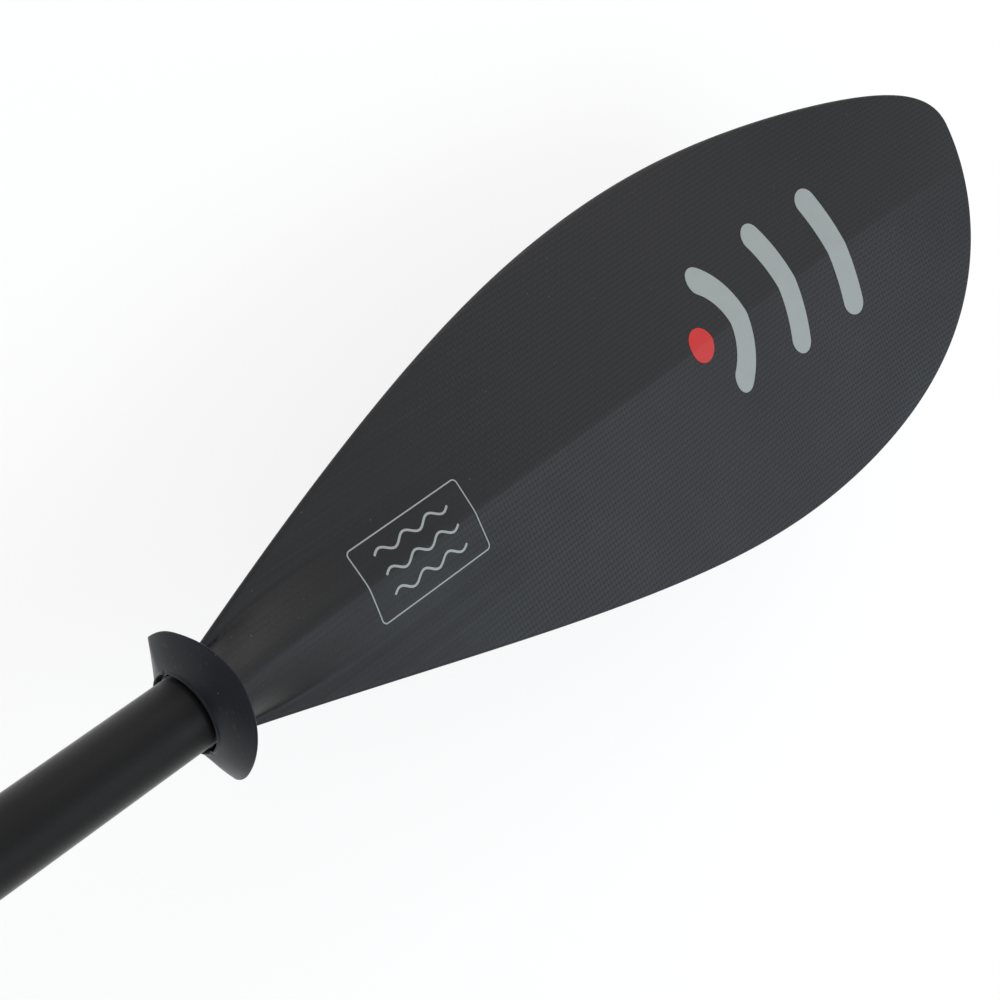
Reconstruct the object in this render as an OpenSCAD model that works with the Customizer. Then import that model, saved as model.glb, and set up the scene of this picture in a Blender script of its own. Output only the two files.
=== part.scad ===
// Two-piece kayak paddle with an adjustable centre ferrule.
// +X runs along the shaft to the right blade, +Z is the way both power faces look,
// and the origin is on the shaft's axis, half way between the two blade tips.

/* [Overall] */
// Tip to tip length with the sliding joint pushed in
paddle_length = 2100; // [2000:10:2200]
// How far the sliding joint pulls out
length_travel = 100; // [50:10:110]

/* [Shaft] */
// Outer diameter of the two shaft tubes
shaft_d = 29; // [28:0.5:30]
// Bore of the two shaft tubes
shaft_bore_d = 26; // [25.6:0.1:26.2]
// Outer diameter of the male ferrule tube
ferrule_d = 25.86; // [25.4:0.02:25.9]
// Wall of the male ferrule tube
ferrule_wall = 2; // [1.8:0.1:2.4]
// Length of the male tube that stands out of the left half
ferrule_reach = 306; // [280:2:340]
// Length of the male tube that is bonded inside the left half
ferrule_bond = 110; // [90:5:130]

/* [Blade] */
// Length of one blade from the neck to the tip
blade_length = 502; // [480:2:520]
// Thickness of each of the two laminate skins
skin_t = 1.2; // [1:0.1:1.4]
// Radius of the neck's round part inside the skins
neck_r = 14.1; // [14:0.1:14.5]
// Slope of the two halves of the dihedral at its steepest
dihedral = 0.125; // [0.08:0.005:0.15]
// Distance in which the neck's swelling sinks into the power face to about a third
power_swell = 50; // [40:1:60]
// How far along the blade the neck's swelling runs on the back
back_swell = 345; // [250:5:380]

/* [Drip rings] */
// Outer diameter of the rubber drip rings
ring_d = 60; // [54:1:64]
// Gap from the drip ring's rim to the blade's neck
ring_gap = 8; // [6:1:12]

/* [Clamp] */
// Length of the clamp collar along the shaft
collar_length = 40; // [36:1:44]
// Outer diameter of the clamp collar
collar_d = 36; // [35:0.5:36.5]
// Width of the clamp lever along the shaft
lever_w = 20; // [18:1:22]

/* [Hidden] */
$fn = 64;

// Blade outline: each edge is a cubic in the share of the length, closed by a round tip
upper_edge = [17, 187, -63, -36];
lower_edge = [17, 144, 68, -29];
// The tip leans towards the upper edge by this much, late in the blade
tip_lean = 21;
tip_lean_power = 6.5;
// Height of the dihedral's ridge at even steps from the neck to the tip
ridge_line = [0, 3, -0.8, -7.6, 3.5];
// Rounding of the ridge, and of the foot of the swelling on the back
ridge_round = 1.5;
swell_fillet = 1.5;
// On the power face the round neck widens and turns into a tent shape along the blade
swell_decay_power = 1.05;
swell_spread = 8;
spread_run = 40;
tent_run = 25;
// Exponents of that cross-section, first at the neck and then as a tent
neck_curve = 2;
neck_side = 0.5;
tent_curve = 1.15;
tent_side = 1.1;
back_swell_power = 1.2;
// Last share of the length that has a row of points, just short of the tip
tip_share = 0.9998;
rows = 30;
cols = 12;
// Columns on each side that cross the neck's swelling, and how far past it they reach
hump_cols = 5;
hump_margin = 1.5;
hump_share = 0.85;
outer_spacing = 1.2;
// The foam core stays this far inside the skins, and inside this share of the swelling
core_cols = 4;
core_inset = 0.3;
core_width_share = 0.85;
core_length_share = 0.82;

// Places along the shaft
neck_x = paddle_length / 2 - blade_length;
collar_x = -66;
// The right tube's mouth lies this far inside the collar
tube_step = 6;
tube_mouth_x = collar_x + tube_step;
left_mouth_x = -75.2;
bumper_t = 2.6;
ring_x = neck_x - ring_gap;
bore_r = shaft_bore_d / 2;
tube_r = shaft_d / 2;
ferrule_r = ferrule_d / 2;
ferrule_end_x = left_mouth_x + ferrule_reach;

// Neck spigot and the plugs
spigot_r = bore_r - 0.06;
spigot_in_tube = 60;
spigot_in_blade = 45;
spigot_root_r = 11.6;
spigot_tip_r = 5.2;
spigot_play = 0.06;
spigot_chamfer = 0.8;
foam_plug_x = 380;
foam_plug_l = 40;
plug_play = 0.04;

// Section of a drip ring: outer cone, rim, and the collar that grips the tube
ring_lip_x = -7.2;
ring_lip_r = 16.2;
ring_lip_t = 0.6;
ring_rim_x = 0.6;
ring_wall = 2.2;
ring_bulge = 0.9;
ring_throat_x = -1.5;
ring_throat_r = 17.6;
grip_play = 0.04;
grip_from = -4.8;
grip_to = 3.4;
grip_r = 17.2;

// Keyed groove in the male tube
key_x = -68;
key_l = 8;
key_w = 3;
key_h = 1.1;
key_play = 0.3;
groove_w = 3.3;
groove_depth = 1.3;

// Index sleeve
sleeve_bore_r = ferrule_r + 0.06;
sleeve_r = 14.4;
sleeve_rib_r = 15.2;
sleeve_flange_r = 17.4;
sleeve_flange_x = -72.2;
sleeve_flange_t = 3.4;
sleeve_lip_r = sleeve_r + 0.3;
sleeve_seat_r = sleeve_rib_r + 0.3;

// Clamp ears, bolt and lever
split_w = 2.4;
slit_short = 3;
lip_t = 2;
ear_x = -57;
ear_l = 24;
ear_y = 31;
ear_top = 8.5;
bolt_x = ear_x + ear_l / 2;
bolt_y = 25;
bolt_r = 2.5;
bolt_hole_r = 2.7;
saddle_t = 1.6;
pin_z = 15.8;
pin_r = 2;
pin_hole_r = 2.06;
cam_r = 5;
cam_drop = 0.4;
eye_w = 8;
eye_r = 4;
saddle_w = 11;
fork_gap = 8.6;
lever_t = 3.4;
lever_in_r = collar_d / 2 + 0.9;
lever_from = 42;
lever_to = 148;
lever_step = 0.5;
root_sweep = 4;
lip_rise = 3;
lip_sweep = 15;
fork_web_y = bolt_y - saddle_w / 2;
washer_t = 1;
washer_r = 4.8;
nut_t = 4;
nut_r = 4.6;
bolt_past_nut = 1;

// Value at share s along an even list of heights, by a smooth cubic through them
function along(v, s) =
    let (last = len(v) - 1, x = min(s * last, last - 0.001), i = floor(x), f = x - i)
    let (b = v[i], c = v[i + 1])
    let (a = i > 0 ? v[i - 1] : 2 * b - c, d = i + 2 <= last ? v[i + 2] : 2 * c - b)
    b + f / 2 * (c - a + f * (2 * a - 5 * b + 4 * c - d + f * (3 * (b - c) + d - a)));

function cubic(c, s) = c[0] + s * (c[1] + s * (c[2] + s * c[3]));
function lean(s) = tip_lean * pow(s, tip_lean_power);
function half_width(c, s) = cubic(c, s) * sqrt(1 - s * s);

// Place across the blade of column j, from the lower edge to the upper edge
function hump_y(half) = min(neck_r + hump_margin, hump_share * half);
function across(s, j) =
    let (a = abs(j), half = half_width(j > 0 ? upper_edge : lower_edge, s), inner = hump_y(half))
    let (outer = max(0, a - hump_cols) / (cols - hump_cols))
    lean(s)
    + sign(j) * (inner * min(1, a / hump_cols) + (half - inner) * pow(outer, outer_spacing));

// Height of the surface where the two skins meet
function mid_height(s, y) =
    along(ridge_line, s)
    - dihedral * sin(180 * s) * (sqrt(y * y + ridge_round * ridge_round) - ridge_round);

// Swelling on the power face: a half circle at the neck, then a low tent that dies out
function power_bump(x, y) =
    let (tall = neck_r * exp(-pow(x / power_swell, swell_decay_power)))
    let (wide = neck_r + swell_spread * (1 - exp(-x / spread_run)))
    let (early = exp(-x / tent_run), late = 1 - early)
    let (u = min(1, (sqrt(y * y + late * late) - late) / wide))
    let (curve = neck_curve * early + tent_curve * late)
    tall * pow(1 - pow(u, curve), neck_side * early + tent_side * late);
function power_inside(s, y) = mid_height(s, y) + power_bump(s * blade_length, y);

// Swelling on the back: a cylinder that slowly sinks into the surface, with a soft foot
function back_top(s) =
    neck_r * pow(max(0, 1 - s * blade_length / back_swell), back_swell_power);
function sunk(y, top) =
    abs(y) < neck_r ? sqrt(neck_r * neck_r - y * y) - neck_r + top
    : top - neck_r - 2 * (abs(y) - neck_r);
function soft(a) = (a + sqrt(a * a + swell_fillet * swell_fillet)) / 2;
function back_bump(s, y) = soft(sunk(y, back_top(s))) * min(1, back_top(s) / swell_fillet);
function back_inside(s, y) = mid_height(s, y) - back_bump(s, y);

// Closed sheet between two grids of points, upper over lower, each a list of rows
module sheet(upper, lower) {
    n = len(upper);
    m = len(upper[0]);
    flat = [for (r = upper) each r, for (r = lower) each r];
    under = n * m;
    function at(i, j) = i * m + j;
    tops = [for (i = [0:n - 2], j = [0:m - 2]) each [
        [at(i, j), at(i, j + 1), at(i + 1, j + 1)],
        [at(i, j), at(i + 1, j + 1), at(i + 1, j)]]];
    bottoms = [for (t = tops) [under + t[2], under + t[1], under + t[0]]];
    rim = concat([for (j = [0:m - 1]) at(0, j)], [for (i = [1:n - 1]) at(i, m - 1)],
        [for (j = [m - 2:-1:0]) at(n - 1, j)], [for (i = [n - 2:-1:1]) at(i, 0)]);
    sides = [for (k = [0:len(rim) - 1])
        let (a = rim[k], b = rim[(k + 1) % len(rim)])
        each [[a, under + a, under + b], [a, under + b, b]]];
    polyhedron(points = flat, faces = concat(tops, bottoms, sides), convexity = 6);
}

// Share of the blade's length at row i, closer together at the neck and at the tip
function share(i) = tip_share * (1 - cos(180 * i / rows)) / 2;
function skin_grid(f, lift) = [for (i = [0:rows]) [for (j = [-cols:cols])
    let (s = share(i), y = across(s, j))
    [neck_x + s * blade_length, y, f(s, y) + lift]]];
function core_half(s) =
    core_width_share * sqrt(neck_r * neck_r - pow(neck_r - back_top(s), 2));
function core_grid(f, lift) =
    let (last = core_length_share * back_swell / blade_length)
    [for (i = [0:rows]) if (share(i) < last) [for (j = [-core_cols:core_cols])
        let (s = share(i), y = j / core_cols * core_half(s))
        [neck_x + s * blade_length, y, f(s, y) + lift]]];

power_fn = function (s, y) power_inside(s, y);
back_fn = function (s, y) back_inside(s, y);

module power_skin() {
    color([0.09, 0.09, 0.10]) sheet(skin_grid(power_fn, skin_t), skin_grid(power_fn, 0));
}
module back_skin() {
    color([0.07, 0.07, 0.08]) sheet(skin_grid(back_fn, 0), skin_grid(back_fn, -skin_t));
}
module blade_core() {
    color([0.85, 0.80, 0.62]) difference() {
        sheet(core_grid(power_fn, -core_inset), core_grid(back_fn, core_inset));
        spigot_cone(spigot_play);
    }
}

// Round bar along +X with both ends chamfered
module rod_x(x, length, r, chamfer) {
    translate([x, 0, 0]) rotate([0, 90, 0]) rotate_extrude()
        polygon([[0, 0], [r - chamfer, 0], [r, chamfer], [r, length - chamfer],
            [r - chamfer, length], [0, length]]);
}
module tube_x(x, length, r, bore) {
    translate([x, 0, 0]) rotate([0, 90, 0]) rotate_extrude()
        polygon([[bore, 0], [r, 0], [r, length], [bore, length]]);
}
// Stub that joins a blade to its tube: a cylinder in the tube and a cone in the blade
module spigot_cone(play) {
    translate([neck_x, 0, 0]) rotate([0, 90, 0])
        cylinder(r1 = spigot_root_r + play, r2 = spigot_tip_r + play, h = spigot_in_blade + play);
}
module neck_spigot() {
    color([0.25, 0.25, 0.27]) union() {
        rod_x(neck_x - spigot_in_tube, spigot_in_tube, spigot_r, spigot_chamfer);
        spigot_cone(0);
    }
}
module foam_plug() {
    color([0.80, 0.80, 0.78]) rod_x(foam_plug_x, foam_plug_l, bore_r - plug_play, 1);
}

// Soft cone with its rim towards the blade, and an inner collar that grips the shaft
module drip_ring() {
    rim_r = ring_d / 2;
    bore = tube_r + grip_play;
    function cone(t, wall) =
        [ring_lip_x + t * (ring_rim_x - ring_lip_x) - ring_bulge * sin(180 * t) + wall,
            ring_lip_r + t * (rim_r - ring_lip_r) + 0.6 * ring_bulge * sin(180 * t) - 0.55 * wall];
    outside = [for (t = [0:0.1:1]) cone(t, 0)];
    inside = [for (t = [1:-0.1:0.35]) cone(t, ring_wall)];
    profile = concat(outside, [[ring_rim_x + 1, rim_r - 0.5]], inside,
        [[ring_throat_x, ring_throat_r], [grip_to - 0.4, grip_r], [grip_to, bore + 0.6],
            [grip_to - 0.4, bore], [grip_from, bore],
            [grip_from - 0.8, ring_lip_r - ring_lip_t],
            [ring_lip_x + 0.3, ring_lip_r - ring_lip_t]]);
    color([0.10, 0.11, 0.12]) translate([ring_x, 0, 0]) rotate([0, 90, 0])
        rotate_extrude($fn = 96) polygon([for (p = profile) [p[1], p[0]]]);
}

module right_shaft_tube() {
    color([0.12, 0.12, 0.13]) difference() {
        tube_x(tube_mouth_x, neck_x - tube_mouth_x, tube_r, bore_r);
        translate([tube_mouth_x - 1, 0, -split_w / 2])
            cube([collar_length - tube_step - slit_short + 1, tube_r + 1, split_w]);
    }
}
module left_shaft_tube() {
    color([0.12, 0.12, 0.13]) tube_x(-neck_x, left_mouth_x + neck_x, tube_r, bore_r);
}

module ferrule_tube() {
    color([0.13, 0.13, 0.14]) difference() {
        tube_x(left_mouth_x - ferrule_bond, ferrule_bond + ferrule_reach, ferrule_r,
            ferrule_r - ferrule_wall);
        translate([key_x - key_play, -groove_w / 2, ferrule_r - groove_depth])
            cube([key_l + length_travel + 2 * key_play, groove_w, groove_depth + 1]);
    }
}
bush_l = 14;
seal_section_r = 0.9;
seal_x = ferrule_end_x + bush_l / 2;
module ferrule_end_bush() {
    head_r = bore_r - 0.06;
    stem_r = ferrule_r - ferrule_wall - 0.05;
    stem_l = 16;
    color([0.20, 0.20, 0.21]) difference() {
        union() {
            rod_x(ferrule_end_x, bush_l, head_r, 0.8);
            rod_x(ferrule_end_x - stem_l, stem_l + 1, stem_r, 0.8);
        }
        tube_x(seal_x - seal_section_r - 0.15, 2 * seal_section_r + 0.3, head_r + 1,
            bore_r - 2 * seal_section_r - 0.05);
    }
}
module ferrule_seal() {
    color([0.05, 0.05, 0.05]) translate([seal_x, 0, 0]) rotate([0, 90, 0]) rotate_extrude()
        translate([bore_r - seal_section_r - 0.02, 0]) circle(r = seal_section_r, $fn = 24);
}
module ferrule_bumper() {
    color([0.09, 0.09, 0.09]) translate([left_mouth_x, 0, 0]) rotate([0, 90, 0])
        rotate_extrude() polygon([[ferrule_r + 0.03, 0], [tube_r, 0], [tube_r, bumper_t - 0.8],
            [tube_r - 0.8, bumper_t], [ferrule_r + 0.03, bumper_t]]);
}

// Ring that turns in the collar's mouth and carries the key that guides the male tube
module index_sleeve() {
    rib_from = collar_x + lip_t + 0.3;
    end_x = tube_mouth_x - 0.4;
    color([0.16, 0.16, 0.17]) union() {
        translate([sleeve_flange_x, 0, 0]) rotate([0, 90, 0]) rotate_extrude()
            polygon([for (p = [[0, sleeve_bore_r + 0.6], [0, sleeve_flange_r - 0.8],
                [0.8, sleeve_flange_r], [sleeve_flange_t, sleeve_flange_r],
                [sleeve_flange_t, sleeve_r], [rib_from - sleeve_flange_x, sleeve_r],
                [rib_from - sleeve_flange_x, sleeve_rib_r],
                [end_x - sleeve_flange_x, sleeve_rib_r],
                [end_x - sleeve_flange_x, sleeve_bore_r], [0.6, sleeve_bore_r]])
                [p[1], p[0]]]);
        translate([key_x, -key_w / 2, ferrule_r - key_h])
            cube([end_x - key_x, key_w, key_h + 0.8]);
    }
}

module clamp_collar() {
    ear_from_y = tube_r + 0.5;
    color([0.11, 0.11, 0.12]) difference() {
        union() {
            tube_x(collar_x, collar_length, collar_d / 2, tube_r + grip_play);
            tube_x(collar_x, tube_step, collar_d / 2, sleeve_lip_r);
            for (side = [-1, 1])
                translate([ear_x, ear_from_y, side > 0 ? split_w / 2 : -ear_top])
                    cube([ear_l, ear_y - ear_from_y, ear_top - split_w / 2]);
        }
        tube_x(collar_x + lip_t, tube_step - lip_t, sleeve_seat_r, 1);
        translate([collar_x - 1, 0, -split_w / 2])
            cube([collar_length + 2, collar_d, split_w]);
        translate([bolt_x, bolt_y, -collar_d / 2]) cylinder(r = bolt_hole_r, h = collar_d);
    }
}

module clamp_bolt() {
    bolt_end_z = -ear_top - washer_t - nut_t - bolt_past_nut;
    color([0.70, 0.71, 0.72]) difference() {
        union() {
            translate([bolt_x, bolt_y, bolt_end_z]) cylinder(r = bolt_r, h = pin_z - bolt_end_z);
            translate([bolt_x - eye_w / 2, bolt_y, pin_z]) rotate([0, 90, 0])
                cylinder(r = eye_r, h = eye_w);
        }
        translate([bolt_x - eye_w, bolt_y, pin_z]) rotate([0, 90, 0])
            cylinder(r = pin_hole_r, h = 2 * eye_w);
    }
}
module nut_washer() {
    color([0.72, 0.72, 0.73]) translate([bolt_x, bolt_y, -ear_top - washer_t]) difference() {
        cylinder(r = washer_r, h = washer_t);
        translate([0, 0, -1]) cylinder(r = bolt_hole_r, h = washer_t + 2);
    }
}
module clamp_nut() {
    color([0.68, 0.69, 0.70]) translate([bolt_x, bolt_y, -ear_top - washer_t - nut_t]) difference() {
        cylinder(r = nut_r, h = nut_t, $fn = 6);
        translate([0, 0, -1]) cylinder(r = bolt_r + 0.02, h = nut_t + 2);
    }
}
// Flat pad that the lever's cam presses on
module cam_saddle() {
    color([0.20, 0.20, 0.21]) translate([bolt_x, bolt_y, ear_top]) difference() {
        translate([-lever_w / 2, -saddle_w / 2, 0]) cube([lever_w, saddle_w, saddle_t]);
        translate([0, 0, -1]) cylinder(r = bolt_hole_r, h = saddle_t + 2);
    }
}

// Turns a shape drawn in X and Y so that they become Y and Z, and its height runs along +X
module across_shaft() { translate([bolt_x - lever_w / 2, 0, 0]) rotate([90, 0, 90]) children(); }
module lever_bar(points) {
    across_shaft() translate([0, 0, lever_step])
        linear_extrude(height = lever_w - 2 * lever_step) polygon(points);
}

// Cam head round the pin, a web, an arm that wraps the collar and a lip for the fingers
module clamp_lever() {
    out_r = lever_in_r + lever_t;
    cam_z = pin_z - cam_drop;
    function polar(r, a) = [r * cos(a), r * sin(a)];
    color([0.14, 0.14, 0.15]) difference() {
        union() {
            across_shaft() rotate([0, 0, lever_from]) rotate_extrude(angle = lever_to - lever_from)
                translate([lever_in_r, 0]) square([lever_t, lever_w]);
            lever_bar([polar(out_r - 1, lever_from + 2 * root_sweep),
                [bolt_y - 0.2 * cam_r, cam_z + 0.85 * cam_r], [bolt_y, cam_z],
                [bolt_y - 0.6 * cam_r, cam_z - 0.5 * cam_r],
                polar(lever_in_r + 0.6, lever_from + root_sweep)]);
            lever_bar([polar(lever_in_r + 0.6, lever_to - root_sweep),
                polar(out_r - 1, lever_to - root_sweep),
                polar(out_r + lip_rise, lever_to + lip_sweep),
                polar(lever_in_r + lip_rise + 1, lever_to + lip_sweep + 1)]);
            across_shaft() translate([bolt_y, cam_z, 0]) cylinder(r = cam_r, h = lever_w);
        }
        translate([bolt_x - fork_gap / 2, fork_web_y, 0])
            cube([fork_gap, collar_d, collar_d]);
        translate([bolt_x - lever_w, bolt_y, pin_z]) rotate([0, 90, 0])
            cylinder(r = pin_r, h = 2 * lever_w);
    }
}
module lever_pin() {
    color([0.74, 0.74, 0.76]) translate([bolt_x - lever_w / 2, bolt_y, pin_z]) rotate([0, 90, 0])
        cylinder(r = pin_r - 0.01, h = lever_w);
}

// The left blade is the right one seen in a mirror across the paddle's middle
module left() { mirror([1, 0, 0]) children(); }

power_skin();  // right_power_skin
back_skin();  // right_back_skin
blade_core();  // right_blade_core
neck_spigot();  // right_neck_spigot
right_shaft_tube();
foam_plug();  // right_foam_plug
drip_ring();  // right_drip_ring
left() power_skin();  // left_power_skin
left() back_skin();  // left_back_skin
left() blade_core();  // left_blade_core
left() neck_spigot();  // left_neck_spigot
left_shaft_tube();
left() foam_plug();  // left_foam_plug
left() drip_ring();  // left_drip_ring
ferrule_tube();
ferrule_end_bush();
ferrule_seal();
ferrule_bumper();
index_sleeve();
clamp_collar();
clamp_bolt();
clamp_nut();
nut_washer();
cam_saddle();
clamp_lever();
lever_pin();
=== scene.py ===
"""Looks of a two-piece kayak paddle: woven laminate blades, rubber drip rings, clamp and print."""
import math

import bmesh
import bpy
import numpy as np
from mathutils import Matrix, Vector


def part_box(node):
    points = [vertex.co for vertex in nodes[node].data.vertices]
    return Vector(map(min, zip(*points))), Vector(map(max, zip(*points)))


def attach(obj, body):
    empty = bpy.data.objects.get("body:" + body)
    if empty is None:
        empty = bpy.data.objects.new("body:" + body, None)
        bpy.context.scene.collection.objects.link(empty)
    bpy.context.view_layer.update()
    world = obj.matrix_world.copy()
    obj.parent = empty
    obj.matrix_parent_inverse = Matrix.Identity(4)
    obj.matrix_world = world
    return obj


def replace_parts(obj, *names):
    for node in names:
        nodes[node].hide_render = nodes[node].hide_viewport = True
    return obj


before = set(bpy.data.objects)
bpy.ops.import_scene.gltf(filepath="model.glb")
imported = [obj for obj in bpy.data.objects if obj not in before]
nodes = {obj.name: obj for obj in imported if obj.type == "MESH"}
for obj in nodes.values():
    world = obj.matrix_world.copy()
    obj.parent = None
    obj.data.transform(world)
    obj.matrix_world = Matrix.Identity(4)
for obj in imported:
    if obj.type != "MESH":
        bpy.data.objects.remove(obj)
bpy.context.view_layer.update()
MM = 0.001

# ---------------------------------------------------------------- blade shape, in millimetres
BLADE_LENGTH = 502.0
SKIN_T = 1.2
NECK_R = 14.1
DIHEDRAL = 0.125  # slope of each half at mid length
RIDGE_ROUND = 0.5
RIDGE_LINE = (0, 3, -0.8, -7.6, 3.5)  # heights of the ridge at even steps along the blade
UPPER_EDGE = (17, 187, -63, -36)  # cubic coefficients of the half width
LOWER_EDGE = (17, 144, 68, -29)
TIP_LEAN = 21.0
TIP_LEAN_POWER = 6.5
POWER_SWELL = 50.0  # run over which the neck's height fades on the power face
SWELL_SPREAD = 8.0
SPREAD_RUN = 40.0
TENT_RUN = 25.0  # run over which the half round turns into a tent
BACK_SWELL = 345.0  # length of the neck's spine on the back
SWELL_FILLET = 2.6
EDGE_ROUND = 1.3
TIP_PULL = 42.0  # how far the last spoke starts behind the tip
TIP_HUB = 459.6  # the last spokes share this start
NECK_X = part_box("right_power_skin")[0].x / MM
RING_GAP = 8
RIM_X = NECK_X - RING_GAP


def along(line, s):
    """Smooth cubic through even steps of a list of heights, at the shares s."""
    v = np.array(line, float)
    v = np.concatenate([[2 * v[0] - v[1]], v, [2 * v[-1] - v[-2]]])
    x = np.clip(s, 0, 0.99999) * (len(line) - 1)
    i = np.floor(x).astype(int)
    f = x - i
    a, b, c, d = v[i], v[i + 1], v[i + 2], v[i + 3]
    bend = 2 * a - 5 * b + 4 * c - d + f * (3 * (b - c) + d - a)
    return b + f / 2 * (c - a + f * bend)


def half_width(edge, s):
    cubic = edge[0] + s * (edge[1] + s * (edge[2] + s * edge[3]))
    return cubic * np.sqrt(np.clip(1 - s * s, 0, 1))


def mid_height(x, y):
    s = x / BLADE_LENGTH
    fold = np.sqrt(y * y + RIDGE_ROUND ** 2) - RIDGE_ROUND
    return along(RIDGE_LINE, s) - DIHEDRAL * np.sin(math.pi * s) * fold


def power_inside(x, y):
    """Half round over the tube at the neck, then a low tent that dies out along the blade."""
    tall = NECK_R * np.exp(-(np.clip(x, 0, None) / POWER_SWELL) ** 1.05)
    wide = NECK_R + SWELL_SPREAD * (1 - np.exp(-x / SPREAD_RUN))
    early = np.exp(-x / TENT_RUN)
    late = 1 - early
    u = np.clip((np.sqrt(y * y + late * late) - late) / wide, 0, 1)
    bump = tall * (1 - u ** (2 * early + 1.15 * late)) ** (0.5 * early + 1.1 * late)
    return mid_height(x, y) + bump


def back_inside(x, y):
    """A cylinder that slowly sinks into the back, with a soft foot."""
    top = NECK_R * np.clip(1 - x / BACK_SWELL, 0, 1) ** 1.2
    inside = np.sqrt(np.clip(NECK_R ** 2 - y * y, 0, None))
    outside = -2 * (np.abs(y) - NECK_R)
    sunk = np.where(np.abs(y) < NECK_R, inside, outside) - NECK_R + top
    soft = (sunk + np.sqrt(sunk ** 2 + SWELL_FILLET ** 2)) / 2
    return mid_height(x, y) - soft * np.clip(top / 1.5, 0, 1)


def power_height(x, y):
    return power_inside(x, y) + SKIN_T


# ---------------------------------------------------------------- mesh helpers
def new_mesh(name, points, faces, merge=0.0, smooth=True):
    mesh = bpy.data.meshes.new(name)
    mesh.from_pydata([tuple(p) for p in points], [], faces)
    bm = bmesh.new()
    bm.from_mesh(mesh)
    if merge:
        bmesh.ops.remove_doubles(bm, verts=bm.verts, dist=merge)
        bmesh.ops.dissolve_degenerate(bm, edges=bm.edges, dist=merge)
    bmesh.ops.recalc_face_normals(bm, faces=bm.faces)
    bm.to_mesh(mesh)
    bm.free()
    mesh.polygons.foreach_set("use_smooth", [smooth] * len(mesh.polygons))
    mesh.update()
    obj = bpy.data.objects.new(name, mesh)
    bpy.context.scene.collection.objects.link(obj)
    return obj


def quads(n, m, start=0, wrap=False):
    rows = []
    for i in range(n - 1):
        for j in range(m if wrap else m - 1):
            k = (j + 1) % m
            rows.append((start + i * m + j, start + i * m + k,
                         start + (i + 1) * m + k, start + (i + 1) * m + j))
    return rows


def place(points, side):
    """Millimetres on the right blade to metres in the frame; side -1 is the mirrored blade."""
    out = np.array(points, float) * MM
    out[..., 0] *= side
    return out


def sharpen(obj, angle=35):
    """Smooth shading that keeps the edges sharper than an angle, in degrees."""
    limit = math.radians(angle)
    bm = bmesh.new()
    bm.from_mesh(obj.data)
    for e in bm.edges:
        e.smooth = len(e.link_faces) == 2 and e.calc_face_angle(0) < limit
    bm.to_mesh(obj.data)
    bm.free()


# ---------------------------------------------------------------- blades
ROWS = 190
COLS = 34
EDGE_COLS = 5


def blade_plan():
    """Grid of x, y and lift over one blade: spokes from the middle line to the outline."""
    t = np.arange(ROWS + 1) / ROWS
    s = np.sin(t * math.pi / 2)
    middle_x = np.minimum(BLADE_LENGTH * s - TIP_PULL * s ** 8, TIP_HUB)
    lean = TIP_LEAN * s ** TIP_LEAN_POWER
    ramp = (np.arange(COLS + 1) / COLS) ** 1.3
    turn = np.arange(1, EDGE_COLS + 1) / EDGE_COLS * math.pi / 2
    halves = []
    for sign, edge in ((-1, LOWER_EDGE), (1, UPPER_EDGE)):
        edge_x = BLADE_LENGTH * s
        edge_y = lean + sign * half_width(edge, s)
        spoke = np.hypot(edge_x - middle_x, edge_y)
        rim = np.minimum(EDGE_ROUND / spoke, 0.5)[:, None]
        share = np.hstack([(1 - rim) * ramp[None, :], 1 - rim * (1 - np.sin(turn))[None, :]])
        lift = np.hstack([np.ones(COLS + 1), np.cos(turn)]) * SKIN_T
        x = middle_x[:, None] + share * (edge_x - middle_x)[:, None]
        y = share * edge_y[:, None]
        halves.append((x, y, np.broadcast_to(lift, x.shape)))
    lower, upper = halves
    return [np.hstack([a[:, :0:-1], b]) for a, b in zip(lower, upper)]


def skin(name, side, inside, facing):
    x, y, lift = blade_plan()
    z = inside(x, y)
    outer = np.stack([x + NECK_X, y, z + facing * lift], -1)
    inner = np.stack([x + NECK_X, y, z], -1)
    n, m = x.shape
    faces = quads(n, m) + quads(n, m, n * m)
    faces += [(j, j + 1, n * m + j + 1, n * m + j) for j in range(m - 1)]
    points = place(np.concatenate([outer.reshape(-1, 3), inner.reshape(-1, 3)]), side)
    obj = new_mesh(name, points, faces, merge=2e-6)
    sharpen(obj, 50)
    return obj


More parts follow.
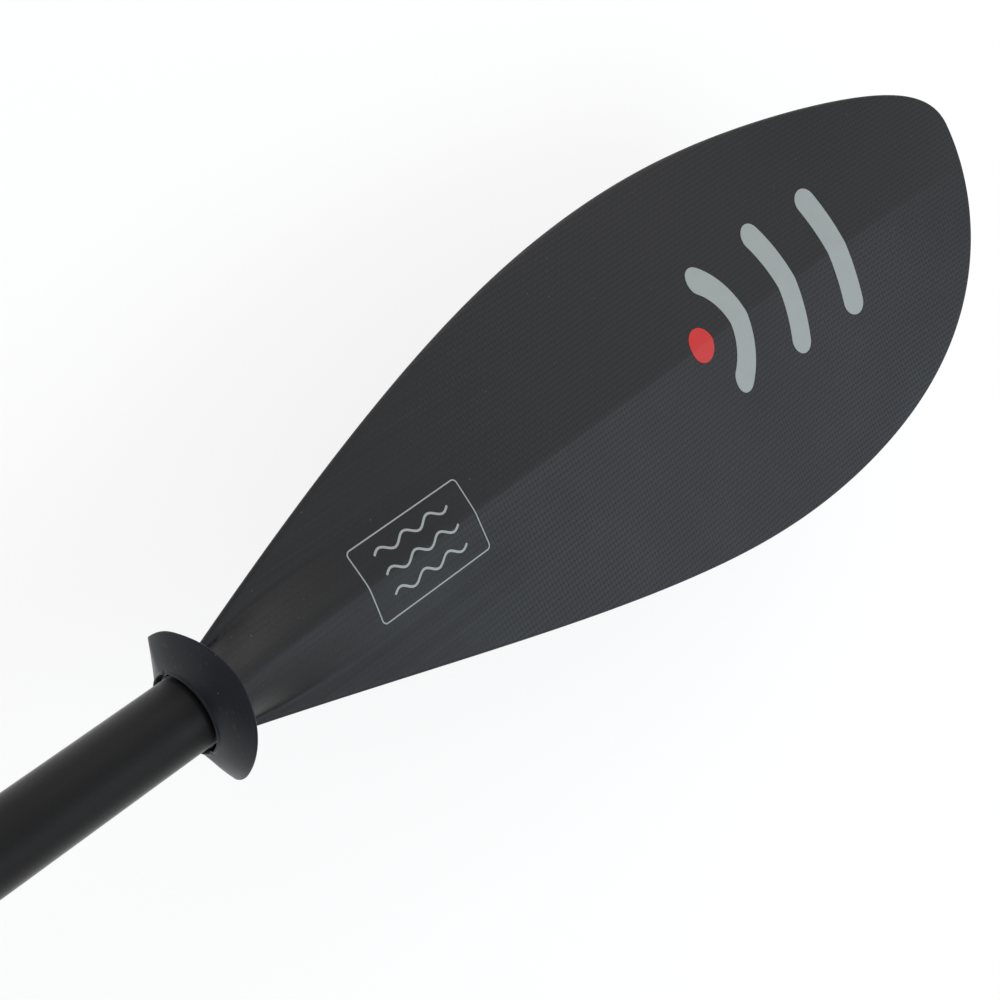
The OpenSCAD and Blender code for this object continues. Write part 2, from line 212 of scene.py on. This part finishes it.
# ---------------------------------------------------------------- materials
class Nodes:
    """Short names for building a node tree."""

    def __init__(self, name):
        self.material = bpy.data.materials.new(name)
        self.material.use_nodes = True
        self.tree = self.material.node_tree
        self.shader = self.tree.nodes["Principled BSDF"]

    def add(self, kind, inputs=(), **settings):
        node = self.tree.nodes.new(kind)
        for key, value in settings.items():
            setattr(node, key, value)
        for key, value in dict(inputs).items():
            if isinstance(value, bpy.types.NodeSocket):
                self.tree.links.new(value, node.inputs[key])
            else:
                node.inputs[key].default_value = value
        return node

    def math(self, operation, a, b=0.0, c=0.0):
        node = self.add("ShaderNodeMath", {0: a, 1: b, 2: c}, operation=operation)
        return node.outputs[0]

    def noise(self, vector, scale, detail=2.0, rough=0.5):
        inputs = {"Vector": vector, "Scale": scale, "Detail": detail, "Roughness": rough}
        return self.add("ShaderNodeTexNoise", inputs).outputs["Fac"]

    def ramp(self, value, low, high, out_low, out_high):
        inputs = {"Value": value, "From Min": low, "From Max": high,
                  "To Min": out_low, "To Max": out_high}
        return self.add("ShaderNodeMapRange", inputs).outputs["Result"]

    def mix(self, share, a, b):
        node = self.add("ShaderNodeMix", data_type="RGBA")
        for key, value in ((0, share), (6, a), (7, b)):
            if isinstance(value, bpy.types.NodeSocket):
                self.tree.links.new(value, node.inputs[key])
            else:
                node.inputs[key].default_value = value
        return node.outputs[2]

    def bump(self, height, strength, distance, normal=None):
        inputs = {"Height": height, "Strength": strength, "Distance": distance}
        if normal is not None:
            inputs["Normal"] = normal
        return self.add("ShaderNodeBump", inputs).outputs["Normal"]

    def place(self):
        return self.add("ShaderNodeTexCoord").outputs["Object"]

    def split(self, vector):
        return self.add("ShaderNodeSeparateXYZ", {0: vector}).outputs

    def stretch(self, vector, scale):
        node = self.add("ShaderNodeMapping", {"Vector": vector, "Scale": scale})
        return node.outputs["Vector"]

    def set(self, **sockets):
        for key, value in sockets.items():
            socket = self.shader.inputs[key.replace("_", " ")]
            if isinstance(value, bpy.types.NodeSocket):
                self.tree.links.new(value, socket)
            else:
                socket.default_value = value
        return self.material


def rgb(r, g, b):
    return (r, g, b, 1.0)


WEAVE_ALONG = 2.0 * MM
WEAVE_ACROSS = 2.25 * MM
WEAVE_FROM = 0.655  # distance from the paddle's middle where straight fibres start to give way
WEAVE_FULL = 0.725
SHAFT_R = 14.5 * MM


def weave_height(n, u, v):
    """Plain weave: two families of round yarns that pass over and under each other."""
    across = n.math("SINE", n.math("MULTIPLY", u, math.pi / WEAVE_ALONG))
    down = n.math("SINE", n.math("MULTIPLY", v, math.pi / WEAVE_ACROSS))
    checker = n.math("MULTIPLY", across, down)
    warp = n.math("ABSOLUTE", across)
    weft = n.math("ABSOLUTE", down)
    over = n.math("GREATER_THAN", checker, 0.0)
    under = n.math("SUBTRACT", 1.0, over)
    height = n.math("ADD", n.math("MULTIPLY", over, warp), n.math("MULTIPLY", under, weft))
    return height, n.math("MULTIPLY", warp, weft), over


def laminate(name, tone, gloss):
    """Satin black woven laminate, with straight fibres instead of the weave near the neck."""
    n = Nodes(name)
    spot = n.place()
    x, y = n.split(spot)[:2]
    height, cover, over = weave_height(n, x, y)
    patchy = n.noise(spot, 30.0, 3.0)
    border = n.noise(n.stretch(spot, (20.0, 160.0, 20.0)), 1.0, 3.0)
    border = n.ramp(border, 0.3, 0.7, -0.02, 0.02)
    far = n.math("ADD", n.math("ABSOLUTE", x), border)
    far = n.ramp(far, WEAVE_FROM, WEAVE_FULL, 0.0, 1.0)
    near = n.math("SUBTRACT", 1.0, far)
    fibres = n.noise(n.stretch(spot, (14.0, 1500.0, 300.0)), 1.0, 4.0, 0.6)
    wide_fibres = n.noise(n.stretch(spot, (5.0, 260.0, 60.0)), 1.0, 2.0)
    specks = n.ramp(n.noise(spot, 1000.0, 0.0), 0.885, 0.895, 0.0, 1.0)
    holes = n.ramp(cover, 0.01, 0.16, 0.0, 1.0)
    holes = n.math("MAXIMUM", holes, n.math("MULTIPLY", near, 0.85))
    yarn = n.ramp(over, 0.0, 1.0, 0.88, 1.12)
    shade = n.math("MULTIPLY", n.ramp(patchy, 0.3, 0.7, 0.88, 1.12), yarn)
    shade = n.math("MULTIPLY", shade, n.ramp(holes, 0.0, 1.0, 0.25, 1.0))
    streaked = n.ramp(fibres, 0.3, 0.7, 0.12, 0.62)
    shade = n.math("MULTIPLY", shade, n.math("ADD", far, n.math("MULTIPLY", near, streaked)))
    dark = n.mix(shade, rgb(0.0006, 0.0006, 0.0007), rgb(*tone))
    color = n.mix(n.math("MULTIPLY", specks, 0.35), dark, rgb(0.30, 0.30, 0.29))
    rough = n.math("ADD", n.ramp(patchy, 0.3, 0.7, gloss - 0.025, gloss + 0.025),
                   n.math("MULTIPLY", near, n.ramp(wide_fibres, 0.3, 0.7, -0.01, 0.03)))
    rough = n.math("ADD", rough, n.ramp(holes, 0.0, 1.0, 0.22, 0.0))
    weave = n.math("ADD", n.math("MULTIPLY", far, height), n.math("MULTIPLY", near, fibres))
    fine = n.bump(weave, 0.30, 0.00014)
    wavy = n.bump(n.noise(spot, 50.0, 2.0), 0.08, 0.0012, fine)
    n.set(Specular_IOR_Level=0.5)
    return n.set(Base_Color=color, Roughness=rough, Normal=wavy, IOR=1.5)


def shaft_laminate(name, tone, gloss):
    """Smooth laminate tube: fine fibres along it, a weave that barely shows, and a soft bloom."""
    n = Nodes(name)
    spot = n.place()
    x, y, z = n.split(spot)[:3]
    angle = n.math("ARCTAN2", z, y)
    height = weave_height(n, x, n.math("MULTIPLY", angle, SHAFT_R))[0]
    fibres = n.noise(n.stretch(spot, (30.0, 900.0, 900.0)), 1.0, 3.0)
    patchy = n.noise(spot, 26.0, 3.0)
    dust = n.ramp(n.noise(spot, 1100.0, 1.0), 0.80, 0.84, 0.0, 1.0)
    shade = n.ramp(fibres, 0.3, 0.7, 0.7, 1.15)
    color = n.mix(shade, rgb(*[0.6 * c for c in tone]), rgb(*tone))
    color = n.mix(n.math("MULTIPLY", dust, 0.2), color, rgb(0.30, 0.30, 0.29))
    rough = n.ramp(patchy, 0.3, 0.7, gloss - 0.04, gloss + 0.05)
    normal = n.bump(fibres, 0.12, 0.0002, n.bump(height, 0.14, 0.0001))
    n.set(Specular_IOR_Level=0.33, Sheen_Weight=0.80, Sheen_Roughness=0.27)
    return n.set(Base_Color=color, Roughness=rough, Normal=normal, IOR=1.5)


def rubber(name, tone):
    """Matt rubber with a faint bloom, smears of dust and a fine moulded grain."""
    n = Nodes(name)
    spot = n.place()
    cloudy = n.noise(spot, 70.0, 4.0, 0.6)
    smear = n.noise(n.stretch(spot, (900.0, 160.0, 420.0)), 1.0, 5.0, 0.7)
    smear = n.ramp(smear, 0.58, 0.78, 0.0, 1.0)
    smear = n.math("MULTIPLY", smear, n.ramp(n.noise(spot, 55.0, 2.0), 0.45, 0.62, 0.0, 1.0))
    grain = n.noise(spot, 2600.0, 2.0)
    specks = n.ramp(n.noise(spot, 1500.0, 0.0), 0.84, 0.86, 0.0, 1.0)
    color = n.mix(n.ramp(cloudy, 0.35, 0.7, 0.0, 1.0), rgb(*tone), rgb(*[1.7 * c for c in tone]))
    color = n.mix(n.math("MULTIPLY", smear, 0.16), color, rgb(0.35, 0.37, 0.40))
    color = n.mix(n.math("MULTIPLY", specks, 0.25), color, rgb(0.35, 0.36, 0.38))
    rough = n.ramp(cloudy, 0.3, 0.7, 0.30, 0.42)
    normal = n.bump(grain, 0.10, 0.00010, n.bump(cloudy, 0.08, 0.0006))
    n.set(Specular_IOR_Level=0.34, Specular_Tint=(0.88, 0.94, 1.0, 1.0))
    return n.set(Base_Color=color, Roughness=rough, Normal=normal, IOR=1.5)


def moulded(name, tone, gloss=0.45, grain_scale=1800.0):
    """Moulded nylon with a fine grain and lighter worn spots."""
    n = Nodes(name)
    spot = n.place()
    grain = n.noise(spot, grain_scale, 2.0)
    cloudy = n.noise(spot, 60.0, 3.0)
    wear = n.ramp(n.noise(spot, 420.0, 4.0, 0.65), 0.60, 0.75, 0.0, 1.0)
    color = n.mix(n.ramp(cloudy, 0.3, 0.7, 0.0, 1.0), rgb(*tone), rgb(*[1.4 * c for c in tone]))
    color = n.mix(n.math("MULTIPLY", wear, 0.08), color, rgb(0.3, 0.3, 0.3))
    rough = n.ramp(cloudy, 0.3, 0.7, gloss - 0.06, gloss + 0.08)
    normal = n.bump(grain, 0.35, 0.00009)
    return n.set(Base_Color=color, Roughness=rough, Normal=normal)


def steel(name):
    """Brushed stainless steel."""
    n = Nodes(name)
    spot = n.place()
    brushed = n.noise(n.stretch(spot, (3000.0, 200.0, 200.0)), 1.0, 3.0)
    cloudy = n.noise(spot, 240.0, 3.0)
    color = n.mix(cloudy, rgb(0.50, 0.50, 0.49), rgb(0.64, 0.64, 0.63))
    rough = n.ramp(brushed, 0.3, 0.7, 0.24, 0.42)
    normal = n.bump(brushed, 0.10, 0.00005)
    return n.set(Base_Color=color, Metallic=1.0, Roughness=rough, Normal=normal)


def foam(name, tone):
    """Closed-cell foam."""
    n = Nodes(name)
    spot = n.place()
    cell = n.add("ShaderNodeTexVoronoi", {"Vector": spot, "Scale": 900.0}).outputs["Distance"]
    color = n.mix(n.ramp(cell, 0.0, 0.6, 0.0, 1.0), rgb(*tone), rgb(*[0.7 * c for c in tone]))
    normal = n.bump(cell, 0.4, 0.0003)
    rough = n.ramp(n.noise(spot, 200.0), 0.3, 0.7, 0.82, 0.95)
    return n.set(Base_Color=color, Roughness=rough, Normal=normal)


def print_ink(name, tone, gloss=0.42):
    """Screen-printed ink, thin enough that the weave below still shows a little."""
    n = Nodes(name)
    spot = n.place()
    x, y = n.split(spot)[:2]
    height = weave_height(n, x, y)[0]
    cloudy = n.noise(spot, 120.0, 4.0, 0.6)
    pin = n.ramp(n.noise(spot, 1500.0, 2.0), 0.74, 0.80, 0.0, 1.0)
    color = n.mix(n.ramp(cloudy, 0.3, 0.7, 0.0, 1.0), rgb(*[0.94 * c for c in tone]), rgb(*tone))
    color = n.mix(n.math("MULTIPLY", pin, 0.35), color, rgb(0.05, 0.05, 0.05))
    rough = n.ramp(cloudy, 0.3, 0.7, gloss - 0.05, gloss + 0.07)
    normal = n.bump(height, 0.10, 0.0001)
    return n.set(Base_Color=color, Roughness=rough, Normal=normal)


def floor_paint(name):
    """White paint that glows a little, so that the shadow on it stays faint."""
    n = Nodes(name)
    spot = n.place()
    cloudy = n.noise(spot, 3.0, 3.0)
    color = n.mix(cloudy, rgb(0.26, 0.26, 0.26), rgb(0.28, 0.28, 0.28))
    glow = n.mix(cloudy, rgb(0.98, 0.98, 0.98), rgb(1.0, 1.0, 1.0))
    rough = n.ramp(cloudy, 0.3, 0.7, 0.6, 0.7)
    return n.set(Base_Color=color, Roughness=rough, Emission_Color=glow, Emission_Strength=0.80)


def paint(obj, material):
    obj.data.materials.clear()
    obj.data.materials.append(material)


LAMINATE = laminate("laminate_power", (0.0125, 0.0124, 0.0148), 0.47)
LAMINATE_BACK = laminate("laminate_back", (0.0085, 0.0086, 0.0100), 0.45)
SHAFT = shaft_laminate("shaft_black", (0.0042, 0.0041, 0.0044), 0.50)
RING = rubber("ring_rubber", (0.0036, 0.0042, 0.0066))
SEAL = rubber("seal_rubber", (0.015, 0.015, 0.015))
NYLON = moulded("moulded_nylon", (0.022, 0.022, 0.024))
CLAMP = moulded("clamp_nylon", (0.016, 0.016, 0.017), 0.40, 1300.0)
FERRULE = shaft_laminate("ferrule_polished", (0.016, 0.016, 0.017), 0.24)
STEEL = steel("clamp_steel")
CORE = foam("core_foam", (0.72, 0.66, 0.46))
PLUG = foam("plug_foam", (0.66, 0.66, 0.63))
INK_GREY = print_ink("ink_grey", (0.457, 0.502, 0.494))
INK_RED = print_ink("ink_red", (0.80, 0.030, 0.026))

for suffix, material in (("blade_core", CORE), ("neck_spigot", NYLON), ("shaft_tube", SHAFT),
                         ("foam_plug", PLUG), ("drip_ring", RING), ("power_skin", LAMINATE),
                         ("back_skin", LAMINATE_BACK)):
    for side_name in ("right", "left"):
        paint(nodes[f"{side_name}_{suffix}"], material)
for name, material in (("ferrule_tube", FERRULE), ("ferrule_end_bush", NYLON),
                       ("ferrule_seal", SEAL), ("ferrule_bumper", SEAL),
                       ("index_sleeve", NYLON), ("clamp_collar", CLAMP),
                       ("clamp_bolt", STEEL), ("clamp_nut", STEEL), ("nut_washer", STEEL),
                       ("cam_saddle", NYLON), ("clamp_lever", CLAMP), ("lever_pin", STEEL)):
    paint(nodes[name], material)


def soften(name, width, angle=35):
    """Small rounded edges on a piece that is carried over from the CAD model."""
    bevel = nodes[name].modifiers.new("soft_edges", "BEVEL")
    bevel.width = width * MM
    bevel.segments = 2
    bevel.limit_method = "ANGLE"
    bevel.angle_limit = math.radians(angle)


for name, width in (("clamp_collar", 0.4), ("clamp_lever", 0.5), ("cam_saddle", 0.25),
                    ("index_sleeve", 0.2), ("clamp_nut", 0.25), ("nut_washer", 0.12),
                    ("clamp_bolt", 0.3), ("lever_pin", 0.2), ("ferrule_bumper", 0.2)):
    soften(name, width)

# ---------------------------------------------------------------- drip rings, in millimetres
RING_STEPS = 192
RING_R = 30
NOTCHES = (-80, 84)  # angles of the two dents in the lip, in degrees
NOTCH_WIDTH = 3.0
NOTCH_DEPTH = 0.75
LEAN_FROM = 5.0  # the lower half leans to the blade from this far below the middle
LEAN_SLOPE = 0.25
LEAN_MOST = 9.5
SADDLE = 2.46
SADDLE_TURN = math.radians(15.3)
CORNER = (262, 24.0)  # angle and width of the rounded lower corner, in degrees
CORNER_BACK = 1.0
CORNER_OUT = 1.6
CROWN = (78, 14.0)
CROWN_OUT = 0.7

# Outline of the ring as distance along the shaft, radius, and share of the fold
RING_LIP = [(-7.55, 16.25, 0), (-7.8, 16.5, 0), (-7.75, 16.85, 0), (-7.4, 17.2, 0.02)]
RING_CONE = [(-7.2 + 6.3 * t - 0.6 * math.sin(math.pi * t), 16.5 + 13.1 * t, t)
             for t in np.linspace(0, 1, 15)[1:]]
RING_RIM = [(0.6 * math.sin(a) - 0.35, 29.45 + 0.5 * math.cos(a), 1)
            for a in np.linspace(-0.9, 2.2, 7)]
RING_UNDER = [(-5.2 + 6.0 * t - 0.5 * math.sin(math.pi * t), 17.6 + 11.2 * t, t)
              for t in np.linspace(0.96, 0.12, 12)]
RING_HUB = [(-1.8, 17.9, 0), (-0.9, 17.5, 0), (2.4, 17.2, 0), (2.9, 16.9, 0), (3.1, 16.3, 0),
            (3.1, 15.1, 0), (2.8, 14.62, 0), (2.4, 14.54, 0), (-4.4, 14.54, 0), (-4.8, 14.7, 0),
            (-5.0, 15.2, 0), (-5.2, 15.6, 0), (-6.4, 15.7, 0), (-6.95, 15.85, 0),
            (-7.2, 16.15, 0)]
LIP_R = 17.3
LIP_X = -4.9


def near_angle(angle, middle, width, power=2):
    """1 at an angle, falling to 0 over a width, all in degrees."""
    away = (np.degrees(angle) - middle + 180) % 360 - 180
    return np.exp(-(away / width) ** power)


def drip_ring(name, side):
    """Thin rubber cone, folded a little along Y so that its lower half leans to the blade."""
    angle = np.arange(RING_STEPS) / RING_STEPS * 2 * math.pi
    below = -RING_R * np.cos(angle) - LEAN_FROM
    lean = LEAN_SLOPE * (np.sqrt(below ** 2 + 2) + below)
    lean = LEAN_MOST * (1 - np.exp(-(lean / LEAN_MOST) ** 2)) ** 0.5
    notch = sum(near_angle(angle, a, NOTCH_WIDTH, 4) for a in NOTCHES)
    corner = near_angle(angle, *CORNER)
    crown = near_angle(angle, *CROWN)
    wave = SADDLE * np.cos(2 * (angle - SADDLE_TURN)) + lean + CORNER_BACK * corner
    rows = []
    for x, r, share in RING_LIP + RING_CONE + RING_RIM + RING_UNDER + RING_HUB:
        dent = NOTCH_DEPTH * notch if r < LIP_R and x < LIP_X else 0
        radius = r - dent + share * (CORNER_OUT * corner + CROWN_OUT * crown)
        depth = x + share * wave
        rows.append(np.stack([depth + RIM_X, radius * np.sin(angle), radius * np.cos(angle)], -1))
    n = len(rows)
    faces = quads(n, RING_STEPS, wrap=True)
    last = (n - 1) * RING_STEPS
    faces += [(last + j, last + (j + 1) % RING_STEPS, (j + 1) % RING_STEPS, j)
              for j in range(RING_STEPS)]
    obj = new_mesh(name, place(np.concatenate(rows), side), faces)
    sharpen(obj, 40)
    return obj


# ---------------------------------------------------------------- print, in millimetres
PRINT_UP = 0.12
PRINT_DOWN = 0.15
RIPPLE_X = 288
RIPPLE_Y = 0
RIPPLES = ((32, 62), (72, 27), (112, 17))  # radius, and reach to each side in degrees
RIPPLE_WIDTH = 13
DOT_X = RIPPLE_X + 2
DOT_R = 8
FRAME_BOX = (72, 133, -16, 15.5)
FRAME_CORNER = 2.0
FRAME_LINE = 0.55
WAVES = (-8.5, 0, 8.5)
WAVE_FROM = 82
WAVE_TO = 123
WAVE_HEIGHT = 1.7
WAVE_LINE = 1.0


def print_patch(name, side, x, y, wrap=False):
    """Thin raised print over a grid of places on the power face."""
    z = power_height(x, y)
    top = np.stack([x + NECK_X, y, z + PRINT_UP], -1)
    low = np.stack([x + NECK_X, y, z - PRINT_DOWN], -1)
    n, m = x.shape
    under = n * m
    faces = quads(n, m) + quads(n, m, under)
    if wrap:
        last = (n - 1) * m
        for base in (0, under):
            faces += [(base + last + j, base + last + j + 1, base + j + 1, base + j)
                      for j in range(m - 1)]
    rims = [[i * m + m - 1 for i in range(n)]]
    if np.ptp(x[:, 0]) > 0:
        rims.append([i * m for i in range(n)])
    if not wrap:
        rims += [list(range(m)), [(n - 1) * m + j for j in range(m)]]
    for rim in rims:
        pairs = list(zip(rim, rim[1:] + ([rim[0]] if wrap else [])))
        faces += [(a, b, b + under, a + under) for a, b in pairs if a != b]
    points = place(np.concatenate([top.reshape(-1, 3), low.reshape(-1, 3)]), side)
    obj = new_mesh(name, points, faces, merge=1e-6)
    sharpen(obj, 30)
    return obj


def round_ended(path_x, path_y, width):
    """A path resampled closely at its ends, with the widths that round them off."""
    cap = width / 2
    run = np.concatenate([[0], np.cumsum(np.hypot(np.diff(path_x), np.diff(path_y)))])
    bend = cap * (1 - np.cos(np.linspace(0.12, math.pi / 2, 9)))
    middle = np.linspace(cap, run[-1] - cap, max(4, int((run[-1] - width) / 1.2)))[1:-1]
    at = np.concatenate([bend, middle, run[-1] - bend[::-1]])
    near = np.clip(np.minimum(at, run[-1] - at), 0, cap)
    widths = width * np.sqrt(np.clip(1 - ((cap - near) / cap) ** 2, 0, 1))
    return np.interp(at, run, path_x), np.interp(at, run, path_y), widths


def ribbon(name, side, path_x, path_y, width, wrap=False):
    """Band along a path on the power face, with round ends unless it closes on itself."""
    px, py = np.array(path_x, float), np.array(path_y, float)
    if not wrap:
        px, py, width = round_ended(px, py, width)
    if wrap:
        dx = np.roll(px, -1) - np.roll(px, 1)
        dy = np.roll(py, -1) - np.roll(py, 1)
    else:
        dx, dy = np.gradient(px), np.gradient(py)
    length = np.hypot(dx, dy)
    across = np.linspace(-0.5, 0.5, max(3, int(np.max(width) / 1.2)))
    offset = across[None, :] * np.broadcast_to(width, px.shape)[:, None]
    x = px[:, None] - (dy / length)[:, None] * offset
    y = py[:, None] + (dx / length)[:, None] * offset
    return print_patch(name, side, x, y, wrap)


def disc(name, side, cx, cy, radius):
    a = np.linspace(0, 2 * math.pi, 72, endpoint=False)[:, None]
    r = np.linspace(0, 1, 8)[None, :] * radius
    return print_patch(name, side, cx + r * np.cos(a), cy + r * np.sin(a), True)


def rounded_box(x0, x1, y0, y1, radius, step=0.8):
    """Even steps round a rectangle with rounded corners."""
    path = []
    for cx, cy, start in ((x1 - radius, y1 - radius, 0), (x0 + radius, y1 - radius, 90),
                          (x0 + radius, y0 + radius, 180), (x1 - radius, y0 + radius, 270)):
        for a in np.radians(np.linspace(start, start + 90, 7)):
            path.append((cx + radius * math.cos(a), cy + radius * math.sin(a)))
    path.append(path[0])
    out = []
    for (ax, ay), (bx, by) in zip(path, path[1:]):
        n = max(1, round(math.hypot(bx - ax, by - ay) / step))
        out += [(ax + (bx - ax) * k / n, ay + (by - ay) * k / n) for k in range(n)]
    return np.array(out).T


def prints(side_name, side):
    """Generic art: ripples that spread from a red dot, and a thin frame round small waves."""
    made = []
    for k, (radius, reach) in enumerate(RIPPLES):
        a = np.radians(np.linspace(-reach, reach, 400))
        x, y = RIPPLE_X + radius * np.cos(a), RIPPLE_Y + radius * np.sin(a)
        arc = ribbon(f"{side_name}_print_arc_{k + 1}", side, x, y, RIPPLE_WIDTH)
        made.append((arc, INK_GREY))
    made.append((disc(f"{side_name}_print_dot", side, DOT_X, RIPPLE_Y, DOT_R), INK_RED))
    x, y = rounded_box(*FRAME_BOX, FRAME_CORNER)
    made.append((ribbon(f"{side_name}_print_frame", side, x, y, FRAME_LINE, True), INK_GREY))
    for k, middle in enumerate(WAVES):
        x = np.linspace(WAVE_FROM, WAVE_TO, 240)
        y = middle + WAVE_HEIGHT * np.sin((x - WAVE_FROM) / (WAVE_TO - WAVE_FROM) * 6 * math.pi)
        made.append((ribbon(f"{side_name}_print_wave_{k + 1}", side, x, y, WAVE_LINE), INK_GREY))
    for obj, ink in made:
        paint(obj, ink)
        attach(obj, f"{side_name}_half")


# ---------------------------------------------------------------- pieces on both halves
SIDES = (("right", 1), ("left", -1))
for side_name, side in SIDES:
    body = f"{side_name}_half"
    face = skin(f"{side_name}_power_face", side, power_inside, 1)
    paint(face, LAMINATE)
    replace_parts(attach(face, body), f"{side_name}_power_skin")
    back = skin(f"{side_name}_back_face", side, back_inside, -1)
    paint(back, LAMINATE_BACK)
    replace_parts(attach(back, body), f"{side_name}_back_skin")
    ring = drip_ring(f"{side_name}_rubber_ring", side)
    paint(ring, RING)
    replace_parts(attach(ring, f"{side_name}_ring"),
                f"{side_name}_drip_ring")
    prints(side_name, side)

# ---------------------------------------------------------------- floor, light and camera
FLOOR_Z = -0.1  # low enough for a blade that is turned on edge
FLOOR_REACH = 30
floor = new_mesh("floor", [(x * FLOOR_REACH, y * FLOOR_REACH, FLOOR_Z)
                           for x, y in ((-1, -1), (1, -1), (1, 1), (-1, 1))], [(0, 1, 2, 3)])
paint(floor, floor_paint("floor_white"))


def softbox(name, at, aim, size, power, tint=(1, 1, 1)):
    light = bpy.data.lights.new(name, "AREA")
    light.shape = "RECTANGLE"
    light.size, light.size_y = size
    light.energy = power
    light.color = tint
    obj = bpy.data.objects.new(name, light)
    obj.location = at
    obj.rotation_euler = (Vector(aim) - Vector(at)).to_track_quat("-Z", "Y").to_euler()
    bpy.context.scene.collection.objects.link(obj)


softbox("key", (2.2, -1.35, 2.15), (0.8, 0, 0), (1.6, 1.4), 15.5, (0.70, 0.84, 1.0))
softbox("fill", (2.4, 1.6, 1.25), (0.7, 0, 0), (1.8, 1.6), 9.5, (1.0, 0.98, 0.95))

# Soft white light all round, brightest half way up and weaker overhead
world = bpy.data.worlds.new("studio")
world.use_nodes = True
sky = world.node_tree
direction = sky.nodes.new("ShaderNodeTexCoord")
height = sky.nodes.new("ShaderNodeSeparateXYZ")
levels = sky.nodes.new("ShaderNodeValToRGB")
levels.color_ramp.interpolation = "B_SPLINE"
SKY_LEVELS = ((0.0, 0.26), (0.5, 0.66), (0.8, 0.72), (1.0, 0.24))  # height, brightness
while len(levels.color_ramp.elements) < len(SKY_LEVELS):
    levels.color_ramp.elements.new(0.5)
for stop, (where, level) in zip(levels.color_ramp.elements, SKY_LEVELS):
    stop.position = where
    stop.color = (level, level, level, 1.0)
sky.links.new(direction.outputs["Generated"], height.inputs[0])
sky.links.new(height.outputs["Z"], levels.inputs[0])
sky.links.new(levels.outputs[0], sky.nodes["Background"].inputs["Color"])
bpy.context.scene.world = world
bpy.context.scene.view_settings.view_transform = "Standard"

camera = bpy.data.objects.new("camera", bpy.data.cameras.new("camera"))
camera.data.lens = 72.0
camera.data.sensor_width = 36.0
camera.data.clip_start = 0.01
camera.data.clip_end = 50
CAMERA_AT = (0.2297, 0.1410, 0.6359)
CAMERA_RIGHT = Vector((0.6603, -0.4627, 0.5915))
CAMERA_UP = Vector((0.4727, 0.8681, 0.1514))
CAMERA_BACK = CAMERA_RIGHT.cross(CAMERA_UP)
turn = Matrix((CAMERA_RIGHT, CAMERA_UP, CAMERA_BACK)).transposed().to_4x4()
camera.matrix_world = Matrix.Translation(CAMERA_AT) @ turn
bpy.context.scene.collection.objects.link(camera)
bpy.context.scene.camera = camera
